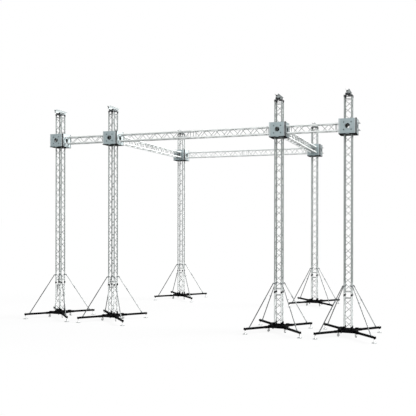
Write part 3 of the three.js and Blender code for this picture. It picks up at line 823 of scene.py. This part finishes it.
def roller_forms():
    """Guide rollers on the mast's chords, high and low on each side, with their axles."""
    roller, axle = Form(), Form()
    r, width, rim = ROLLER_RADIUS, ROLLER_WIDTH, 0.003
    profile = [(0, r - rim), (rim, r), (width - rim, r), (width, r - rim)]
    flat = CHORD_PLACE + CHORD_RADIUS + PLAY + r
    low, high = ROLLER_INSETS
    axle_half, axle_radius = ROLLER_AXLE
    for z in (-PLATE_RISE + low, PLATE_RISE - high):
        for y in (-CHORD_PLACE, CHORD_PLACE):
            turned(roller, (flat, y - width / 2, z), Y, profile, 24)
        tube(axle, (flat, -axle_half, z), (flat, axle_half, z), axle_radius, 12)
    return roller.around(), axle.around()


def cone_form(quarter):
    """Cone couplers on round flanges, at the chord places of one side of the block."""
    side = Form()
    for y, z in CHORD_PLACES:
        turned(side, (BLOCK_REACH, y, z), X, [
            (-0.002, 0.034), (0.004, 0.034), (0.006, 0.032), (0.006, 0.0245), (0.016, 0.0245),
            (0.020, 0.0222), (CONE_LENGTH - 0.006, 0.0150), (CONE_LENGTH, 0.0115),
        ], 24)
    return Form().add(side, QUARTERS[quarter])


# Mast top

def top_frame_form(bottom, top):
    """Square plate frame on the mast, with a socket over the end of each chord."""
    form, socket = Form(), Form()
    square_ring(form, *TOP_FRAME, bottom, top)
    at = CHORD_AXIS + Z * bottom
    collar(socket, at - Z * 0.055, Z, 0.056, CHORD_RADIUS + 0.0004, CHORD_RADIUS + 0.0058)
    bolt(socket, at + Z * (top - bottom), Z, 0.012)
    return form.add(socket.around())


def roller_beam_form(bottom):
    """A channel along Y with flared lips, a floor between the sheaves, ribs and a strap across each end."""
    form = Form()
    near, far, bend = BEAM_INSIDE, BEAM_INSIDE + BEAM_WALL, BEAM_WALL * 0.5
    section = [
        (far, BEAM_RISE), (far, BEAM_NECK - bend), (far + bend * 0.5, BEAM_NECK),
        (BEAM_TIP, BEAM_HEIGHT - 0.002), (BEAM_TIP - 0.002, BEAM_HEIGHT),
        (BEAM_TIP - BEAM_WALL, BEAM_HEIGHT - 0.001),
        (near + bend * 0.5, BEAM_NECK + bend), (near, BEAM_NECK), (near, BEAM_RISE),
    ]
    for side in SIDES:
        along_y(form, section, side, (-BEAM_REACH, BEAM_REACH), bottom)
    low, reach, half = bottom + BEAM_RISE, SHEAVE_PLACE - SHEAVE_RADIUS - SHEAVE_ROOM, near + 0.003
    brick(form, (-half, -reach, low), (half, reach, low + BEAM_WALL))
    for y in (-BEAM_REACH, BEAM_REACH - STRAP_WALL):
        brick(form, (-half, y, low), (half, y + STRAP_WALL, low + STRAP_HEIGHT))
    reach, rib_top = BEAM_TIP - BEAM_WALL - 0.006, BEAM_HEIGHT - 0.012
    right = [(near, RIB_FOOT), (near, BEAM_NECK), (reach, rib_top)]
    left = [(-x, z) for x, z in right[::-1]]
    for y in RIB_PLACES:
        plate(form, left[-1:] + right + left[:-1], (0, y, bottom), X, Z, 0.005)
    return form


def hat_form(bottom):
    """The hat-shaped foot that carries the channel on the top plate, with gussets inside its legs."""
    form = Form()
    ceiling = HAT_HEIGHT - HAT_WALL
    leg = [(HAT_FOOT, 0), (HAT_DECK, HAT_HEIGHT), (BEAM_INSIDE, HAT_HEIGHT), (BEAM_INSIDE, ceiling),
           (HAT_DECK - HAT_WALL, ceiling), (HAT_FOOT - HAT_WALL, 0)]
    under = HAT_HEIGHT - 0.01
    gusset = [(BEAM_INSIDE + BEAM_WALL, under), (HAT_DECK - 0.01, under), (HAT_FOOT - 0.012, 0.004)]
    for side in SIDES:
        along_y(form, leg, side, (-HAT_REACH, HAT_REACH), bottom)
        for y in GUSSET_PLACES:
            plate(form, [(side * x, z) for x, z in gusset], (0, y, bottom), X, Z, 0.005)
    return form


def hat_rail_form(bottom):
    """Dark flat bars along the hat's edges and the cradle straps under the channel, with their bolts.
    Their dark is painted shade under the channel.
    """
    form = Form()
    rail_half = HAT_REACH + 0.02
    section = [(HAT_DECK - 0.004, HAT_HEIGHT + 0.004), (HAT_DECK + 0.010, HAT_HEIGHT + 0.004),
               (HAT_DECK + 0.021, HAT_HEIGHT - 0.034), (HAT_DECK + 0.010, HAT_HEIGHT - 0.034)]
    for side in SIDES:
        along_y(form, section, side, (-rail_half, rail_half), bottom)
        for y in RAIL_BOLTS:
            bolt(form, (side * (HAT_DECK - 0.022), y, bottom + HAT_HEIGHT), Z, 0.008)
    half, low, edge, high = 0.030, BEAM_RISE - 0.002, HAT_DECK - 0.004, HAT_HEIGHT - 0.012
    path = [(-edge, high), (-half, low), (half, low), (edge, high)]
    cradle = [(x, z - CRADLE_WALL) for x, z in path] + path[::-1]
    place = HAT_REACH - CRADLE_WIDTH / 2
    for y in (-place, place):
        plate(form, cradle, (0, y, bottom), X, Z, CRADLE_WIDTH)
    return form


def beam_bolts_form(bottom):
    """The sheaves' axles with their collars and nuts, and the bolts of the end straps."""
    form = Form()
    level, strap_level = bottom + SHEAVE_RISE, bottom + BEAM_RISE + STRAP_HEIGHT / 2
    wall = BEAM_INSIDE + BEAM_WALL
    half, radius = AXLE
    for y in (-SHEAVE_PLACE, SHEAVE_PLACE):
        tube(form, (-half, y, level), (half, y, level), radius, 16)
        for side in SIDES:
            collar(form, (side * (wall - 0.001), y, level), X * side, 0.009, radius, 0.016)
            bolt(form, (side * (wall + 0.008), y, level), X * side, 0.011, 0.006)
    for end in SIDES:
        for x in (-0.012, 0.012):
            bolt(form, (x, end * (BEAM_REACH - 0.001), strap_level), Y * end, 0.005)
    return form


def shade_liner_form(bottom):
    """Black liners on the inner faces of the channel, from inside of each sheave to the channel's end:
    painted shade in the channel.
    """
    form = Form()
    slope = (BEAM_TIP - BEAM_WALL - BEAM_INSIDE) / (BEAM_HEIGHT - BEAM_NECK)
    reach = BEAM_INSIDE + slope * LINER_RISE
    low, neck, high = BEAM_RISE + STRAP_HEIGHT, BEAM_NECK + 0.004, BEAM_NECK + LINER_RISE
    back, face = BEAM_INSIDE + 0.001, BEAM_INSIDE - 0.0003
    section = [(back, low), (back, neck), (reach + 0.001, high)]
    section += [(reach - 0.003, high), (face, neck), (face, low)]
    for side in SIDES:
        for end in SIDES:
            along_y(form, section, side, [end * place for place in LINER_REACH], bottom)
    return form


def sheave_form():
    """A grooved wheel about X, about its own middle."""
    form = Form()
    r = SHEAVE_RADIUS
    left = [(-0.020, 0.0104), (-0.020, 0.018), (-0.012, 0.019), (-0.012, r - 0.015), (-0.019, r - 0.011),
            (-0.021, r), (-0.017, r), (-0.007, r - 0.010)]
    right = [(-along, radius) for along, radius in left[::-1]]
    return turned(form, (0, 0, 0), X, left + [(0.0, r - 0.012)] + right, 40, closed=True)


# Towers

TOWERS = sorted(name.removeprefix("base_mast_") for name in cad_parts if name.startswith("base_mast_"))
STANDS_FOR = {
    "base_frame": "base", "top_frame": "mast_top_plate", "beam_channel": "roller_beam",
    "block_plates": "sleeve_block",
}
BEVELS = {
    "base_frame": 0.003, "top_frame": 0.0015, "block_foot": 0.0015, "block_edge_bars": 0.001,
    "block_bar_caps": 0.001,
}
# the quarter turn from +X to the side of a block that carries no beam, left or right
FREE_SIDES = {"front_left_wing": 2, "front_right_wing": 0, "back_left": 2, "back_right": 0}


def middle_of(node):
    low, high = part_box(node)
    return (low + high) / 2


def heights_of(kind):
    """The lowest and the highest height of a kind of node that is the same on every tower."""
    return [corner.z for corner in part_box(f"{kind}_{TOWERS[0]}")]


def dress_towers(kinds, dull, body, height=0):
    """Puts each kind of piece on one tower after the other, and hands on each tower with its place.
    The right-hand towers take the darker mesh of a kind that has one, a copy with painted shade."""
    meshes = {kind: form.mesh(kind, material) for kind, form, material, slot in kinds}
    for tower in TOWERS:
        centre = middle_of(f"base_{tower}")
        place = Vector((centre.x, centre.y, height))
        used = {**meshes, **dull} if place.x > 0 else meshes
        for kind, form, material, slot in kinds:
            stands_for = (f"{STANDS_FOR[kind]}_{tower}",) if kind in STANDS_FOR else ()
            bevel = BEVELS.get(kind, 0)
            put(f"{kind}_{tower}", used[kind], body, slot, place, replaces=stands_for, bevel=bevel)
        yield tower, place


def build_towers():
    """All that stands on the ground, from the feet up to the sheaves."""
    foot, base_high = heights_of("base_mast")
    mast_low, mast_high = heights_of("mast")
    beam_low = heights_of("roller_beam")[0]
    knuckle_low = base_high - KNUCKLE_HEIGHT
    spindles, feet = jack_forms()
    forks, wheels = caster_forms()
    lit_brace, plain_braces, shaded_brace, brace_fittings, brace_clamps = brace_forms()
    sleeves, knuckles, pins = hinge_forms(knuckle_low)
    channel = roller_beam_form(beam_low)
    kinds = (
        ("base_frame", base_frame_form(), BLACK, "black_paint"),
        ("outriggers", outrigger_form(), BLACK, "black_paint"),
        ("mast_sockets", mast_socket_form(foot), BLACK, "black_paint"),
        ("jack_spindles", spindles, BRIGHT, "grey_steel"),
        ("jack_feet", feet, ZINC, "grey_steel"),
        ("caster_forks", forks, BRIGHT, "grey_steel"),
        ("caster_wheels", wheels, TYRE, "grey_steel"),
        ("brace_tubes", plain_braces, PLAIN_BRACE, "truss_aluminium"),
        ("brace_tube_lit", lit_brace, LIT_BRACE, "truss_aluminium"),
        ("brace_tube_shaded", shaded_brace, SHADED_BRACE, "truss_aluminium"),
        ("brace_fittings", brace_fittings, CLAMP, "grey_steel"),
        ("brace_clamps", brace_clamps, CLAMP, "grey_steel"),
        ("hinge_sleeves", sleeves, BASE_CHORDS, "truss_aluminium"),
        ("hinge_knuckles", knuckles, BLACK, "grey_steel"),
        ("hinge_pins", pins, DARK, "grey_steel"),
        ("top_frame", top_frame_form(*heights_of("mast_top_plate")), DARK, "grey_steel"),
        ("beam_channel", channel, BEAM_METAL, "block_grey"),
        ("beam_hat", hat_form(beam_low), HAT_METAL, "block_grey"),
        # the rails' and cradles' dark is painted shade under the channel
        ("beam_rails", hat_rail_form(beam_low), DARK, "grey_steel"),
        # black liners that paint the shade inside the channel
        ("beam_shade_liners", shade_liner_form(beam_low), SHEAVE_BLACK, "black_paint"),
        ("beam_bolts", beam_bolts_form(beam_low), ZINC, "grey_steel"),
    )
    # the right-hand towers' channels take the darker copy: painted shade
    dull = {"beam_channel": channel.mesh("shaded_beam_channel", SHADED_BEAM)}
    # the sheaves' near black is partly painted shade at the channel's ends
    sheave_mesh = sheave_form().mesh("sheave_wheel", SHEAVE_BLACK)
    mast_inset = MAST_RUNG_INSET + RUNG_RADIUS + RUNG_CLEARANCE
    # the back towers' masts get the lighter metals, painted light
    front, back = (MAST_CHORDS, MAST_BARS), (LIT_BACK_MAST_CHORDS, LIT_BACK_MAST_BARS)
    for tower, place in dress_towers(kinds, dull, "towers"):
        put_truss(f"base_mast_{tower}", "towers", knuckle_low - foot, place + Z * foot,
                  (BASE_CHORDS, BASE_BARS), insets=(BASE_ZIGZAG_INSET, MAST_RUNG_INSET + RUNG_CLEARANCE),
                  rungs=(-MAST_RUNG_INSET,), coupled=False)
        put_truss(f"mast_{tower}", "towers", mast_high - mast_low, place + Z * mast_low,
                  back if place.y > 0 else front, insets=(mast_inset, ZIGZAG_INSET),
                  rungs=(MAST_RUNG_INSET, -RUNG_INSET), coupled=False)
        for end in ("front", "back"):
            node = f"sheave_{end}_{tower}"
            put(f"sheave_wheel_{end}_{tower}", sheave_mesh, f"{node}_wheel", "sheave_steel", middle_of(node),
                replaces=(node,))


def build_blocks():
    """The sleeve blocks, with cone couplers on their free sides."""
    rollers, axles = roller_forms()
    plates, side_plates, lips, bars, caps = block_plate_forms()
    kinds = (
        ("block_plates", plates, BLOCK, "block_grey"),
        ("block_side_plates", side_plates, LIT_SIDE_SHEET, "block_grey"),
        ("block_lips", lips, EDGE, "block_grey"),
        ("block_edge_bars", bars, CORNER, "grey_steel"),
        ("block_bar_caps", caps, BLACK, "black_paint"),
        # the core's black is painted shade inside the block
        ("block_core", block_core_form(), BLACK, "black_paint"),
        ("block_foot", block_foot_form(), BLACK, "black_paint"),
        ("block_brackets", block_bracket_form(), BLOCK, "block_grey"),
        ("block_bolts", block_bolts_form(), SOCKET, "grey_steel"),
        ("guide_rollers", rollers, NYLON, "black_paint"),
        ("roller_axles", axles, ZINC, "grey_steel"),
    )
    # the right-hand towers' side plates take the darker copy: painted shade
    dull = {"block_side_plates": side_plates.mesh("block_dull_side_plates", SHADED_SIDE_SHEET)}
    height = heights_of("sleeve_block")[1] - PLATE_RISE
    cones = {quarter: cone_form(quarter).mesh("cone_couplers", ZINC) for quarter in (0, 2)}
    for tower, place in dress_towers(kinds, dull, "roof", height):
        if tower in FREE_SIDES:
            put(f"cone_couplers_{tower}", cones[FREE_SIDES[tower]], "roof", "grey_steel", place)


def build_beams():
    """The roof's beams. Painted shade makes the chords darker at the front left only, and painted light the
    bars paler at the back.
    """
    for node in sorted(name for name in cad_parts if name.startswith("beam_")):
        low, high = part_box(node)
        size, centre = high - low, middle_of(node)
        along_x = size.x > size.y
        length = max(size.x, size.y)
        start = centre - (X if along_x else Y) * (length / 2)
        turn = Matrix.Rotation(math.pi / 2, 4, "Y") if along_x else Matrix.Rotation(-math.pi / 2, 4, "X")
        at_front, at_back = along_x and centre.y < 0, along_x and centre.y > 0
        chords = CHORDS if at_front and centre.x < 0 else PALE_CHORDS
        put_truss(node, "roof", length, start, (chords, PALE_BARS if at_back else BARS), turn)


# Stage, lights and camera

CAMERA_PLACE = (8.440, -23.671, 3.950)
CAMERA_AZIMUTH = 19.70
CAMERA_ROLL = -0.089
CAMERA_LENS = 51.65
CAMERA_SHIFT = (-0.0315, 0.0247)
FLOOR_HALF = 400.0
FLOOR_SHADE = 0.05
AMBIENT = 0.35
# each with its strength, and in degrees the spread, the azimuth from +X and the elevation
LAMPS = (
    ("right_light", 7.0, 25.0, 22.0, 33.0),
    ("front_light", 2.0, 50.0, -98.0, 12.0),
)


def towards(azimuth, elevation):
    """The direction of an azimuth from +X and an elevation, both in degrees."""
    turn, rise = math.radians(azimuth), math.radians(elevation)
    return Vector((math.cos(rise) * math.cos(turn), math.cos(rise) * math.sin(turn), math.sin(rise)))


def seen_directly(nodes):
    """1 for rays from the camera, from glossy surfaces and through clear ones, and 0 for the rest."""
    rays = nodes.node("LightPath", {}).outputs
    first = nodes.node("Math", {0: rays["Is Camera Ray"], 1: rays["Is Glossy Ray"]}, operation="MAXIMUM")
    second = nodes.node("Math", {0: first.outputs[0], 1: rays["Is Transmission Ray"]}, operation="MAXIMUM")
    return second.outputs[0]


def build_floor():
    """A pale floor that takes the shadow, lifted to the white of the background where it is seen."""
    mesh = bpy.data.meshes.new("floor")
    mesh.from_pydata([(sx * FLOOR_HALF, sy * FLOOR_HALF, 0) for sx, sy in CORNERS], [], [(0, 1, 2, 3)])
    falling = sum(energy * towards(azimuth, elevation).z for _, energy, _, azimuth, elevation in LAMPS)
    lit = FLOOR_SHADE * (AMBIENT + falling / math.pi)
    nodes = Nodes(bpy.data.materials.new("floor_white"), clear=True)
    diffuse = nodes.node("BsdfDiffuse", {"Color": (FLOOR_SHADE, FLOOR_SHADE, FLOOR_SHADE, 1)})
    lift = nodes.node("Math", {0: seen_directly(nodes), 1: 1.0 - lit}, operation="MULTIPLY")
    glow = nodes.node("Emission", {"Strength": lift.outputs[0]})
    both = nodes.node("AddShader", {0: diffuse.outputs[0], 1: glow.outputs[0]})
    nodes.node("OutputMaterial", {"Surface": both.outputs[0]})
    mesh.materials.append(nodes.owner)
    new_object("floor", mesh)


def build_light():
    world = bpy.data.worlds.new("studio")
    bpy.context.scene.world = world
    nodes = Nodes(world, clear=True)
    strength = nodes.node("MapRange", {
        "Value": seen_directly(nodes), "To Min": AMBIENT, "To Max": 1.0,
    }).outputs["Result"]
    sky = nodes.node("Background", {"Color": (1, 1, 1, 1), "Strength": strength})
    nodes.node("OutputWorld", {"Surface": sky.outputs[0]})
    for name, energy, spread, azimuth, elevation in LAMPS:
        lamp = bpy.data.lights.new(name, "SUN")
        lamp.energy = energy
        lamp.angle = math.radians(spread)
        holder = new_object(name, lamp)
        holder.rotation_mode = "QUATERNION"
        holder.rotation_quaternion = towards(azimuth, elevation).to_track_quat("Z", "Y")


def build_camera():
    data = bpy.data.cameras.new("photo_view")
    data.lens = CAMERA_LENS
    data.sensor_width = 36.0
    data.shift_x, data.shift_y = CAMERA_SHIFT
    data.clip_end = 1000.0
    camera = new_object("photo_view", data)
    camera.location = CAMERA_PLACE
    camera.rotation_euler = (math.pi / 2, math.radians(CAMERA_ROLL), math.radians(CAMERA_AZIMUTH))
    bpy.context.scene.camera = camera


build_camera()
build_floor()
build_light()
build_towers()
build_blocks()
build_beams()
bpy.context.scene.view_settings.view_transform = "Standard"
bpy.context.view_layer.update()
